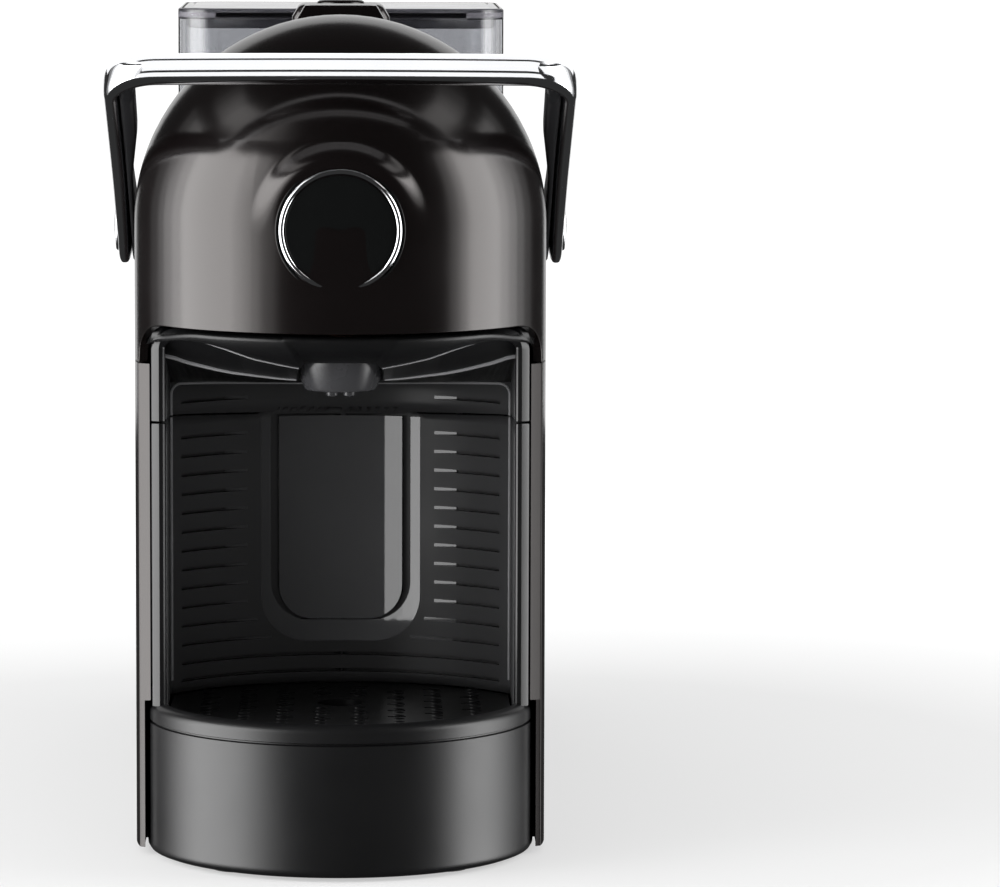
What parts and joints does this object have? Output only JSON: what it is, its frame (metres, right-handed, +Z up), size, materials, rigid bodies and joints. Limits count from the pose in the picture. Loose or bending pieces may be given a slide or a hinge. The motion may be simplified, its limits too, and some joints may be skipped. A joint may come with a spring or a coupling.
{
  "type": "pod coffee machine",
  "caption": "Compact pod coffee machine: domed hood over a cup bay, lift-up chrome lever that opens the capsule hatch, pull-out drip drawer and lift-off water tank.",
  "frame": {"origin": "bottom centre of the bounding box, on the surface the feet stand on", "axes": "+Z up, -Y towards the front where the cup stands, +X to the right as seen from the front"},
  "size_m": [0.1276, 0.335, 0.2341],
  "materials": {
    "gloss_shell": "polished moulded ABS",
    "satin_shell": "fine textured moulded ABS",
    "bay_plastic": "semi-gloss moulded ABS",
    "badge_black": "gloss",
    "bright_chrome": "polished chrome plate",
    "satin_steel": "brushed",
    "liner_black": "satin",
    "foot_rubber": "matte",
    "silicone_red": "silicone",
    "clear_tank": "clear moulded",
    "smoke_lid": "smoky clear moulded",
    "white_pom": "natural acetal",
    "cast_alloy": "as cast",
    "brass_plate": "machined",
    "coil_varnish": "varnished winding",
    "board_green": "glass-filled epoxy"
  },
  "bodies": {
    "casing": {"base_plate": "satin_shell", "rubber_feet": "foot_rubber", "left_side_panel": "gloss_shell", "right_side_panel": "gloss_shell", "hood": "gloss_shell", "badge_disc": "badge_black", "badge_ring": "bright_chrome", "brew_canopy": "bay_plastic", "coffee_spout": "satin_shell", "button_console": "gloss_shell", "button_switch": "satin_shell", "rear_cover": "satin_shell", "rear_screws": "satin_steel", "tank_dock": "satin_shell", "dock_seal": "silicone_red", "cord_gland": "foot_rubber", "brew_frame": "satin_steel", "frame_screws": "satin_steel", "extraction_head": "satin_shell", "head_seal": "silicone_red", "outlet_tube": "white_pom", "slot_guide": "satin_shell", "capsule_chute": "satin_shell", "injector_tube": "satin_steel", "thermoblock": "cast_alloy", "heater_terminals": "brass_plate", "thermostat": "white_pom", "pump_body": "coil_varnish", "pump_mounts": "foot_rubber", "pump_bracket": "satin_steel", "pressure_tube": "white_pom", "flow_meter": "white_pom", "feed_tube": "white_pom", "control_board": "board_green", "lever_bushings": "white_pom", "hatch_pin": "satin_steel"},
    "lever": {"lever_bail": "bright_chrome", "lever_liners": "liner_black", "lever_shafts": "satin_steel", "cam_plates": "brass_plate"},
    "piston": {"piston_carriage": "satin_shell", "piston_seal": "silicone_red", "follower_pins": "satin_steel"},
    "hatch": {"capsule_hatch": "gloss_shell"},
    "button": {"brew_button": "gloss_shell"},
    "drawer": {"drawer_body": "satin_shell", "capsule_bin": "bay_plastic"},
    "tray": {"drip_tray": "satin_shell"},
    "grid": {"drip_grid": "bay_plastic"},
    "tank": {"water_tank": "clear_tank", "tank_valve": "white_pom"},
    "lid": {"tank_lid": "smoke_lid", "lid_pins": "satin_steel"}
  },
  "joints": [
    {"name": "lever_hinge", "type": "hinge", "parent": "casing", "child": "lever", "pos_m": [0, -0.0575, 0.171], "axis": [-1, 0, 0], "range_deg": [0, 75]},
    {"name": "piston_slide", "type": "slide", "parent": "casing", "child": "piston", "axis": [0, 1, 0], "range_m": [0, 0.014]},
    {"name": "hatch_hinge", "type": "hinge", "parent": "casing", "child": "hatch", "pos_m": [0, -0.0185, 0.2278], "axis": [-1, 0, 0], "range_deg": [0, 67.5]},
    {"name": "button_press", "type": "slide", "parent": "casing", "child": "button", "axis": [0, 0, -1], "range_m": [0, 0.0015], "stiffness_N_per_m": 300, "springref_m": -0.002},
    {"name": "drawer_slide", "type": "slide", "parent": "casing", "child": "drawer", "axis": [0, -1, 0], "range_m": [0, 0.17]},
    {"name": "tray_lift", "type": "slide", "parent": "drawer", "child": "tray", "axis": [0, 0, 1], "range_m": [0, 0.035]},
    {"name": "grid_lift", "type": "slide", "parent": "tray", "child": "grid", "axis": [0, 0, 1], "range_m": [0, 0.04]},
    {"name": "tank_lift", "type": "slide", "parent": "casing", "child": "tank", "axis": [0, 0, 1], "range_m": [0, 0.18]},
    {"name": "lid_hinge", "type": "hinge", "parent": "tank", "child": "lid", "pos_m": [0, 0.1648, 0.227], "axis": [-1, 0, 0], "range_deg": [0, 100]}
  ],
  "couplings": [
    {"joint": "piston_slide", "follows": "lever_hinge", "m_per_rad": 0.01069},
    {"joint": "hatch_hinge", "follows": "lever_hinge", "ratio": 0.9}
  ]
}
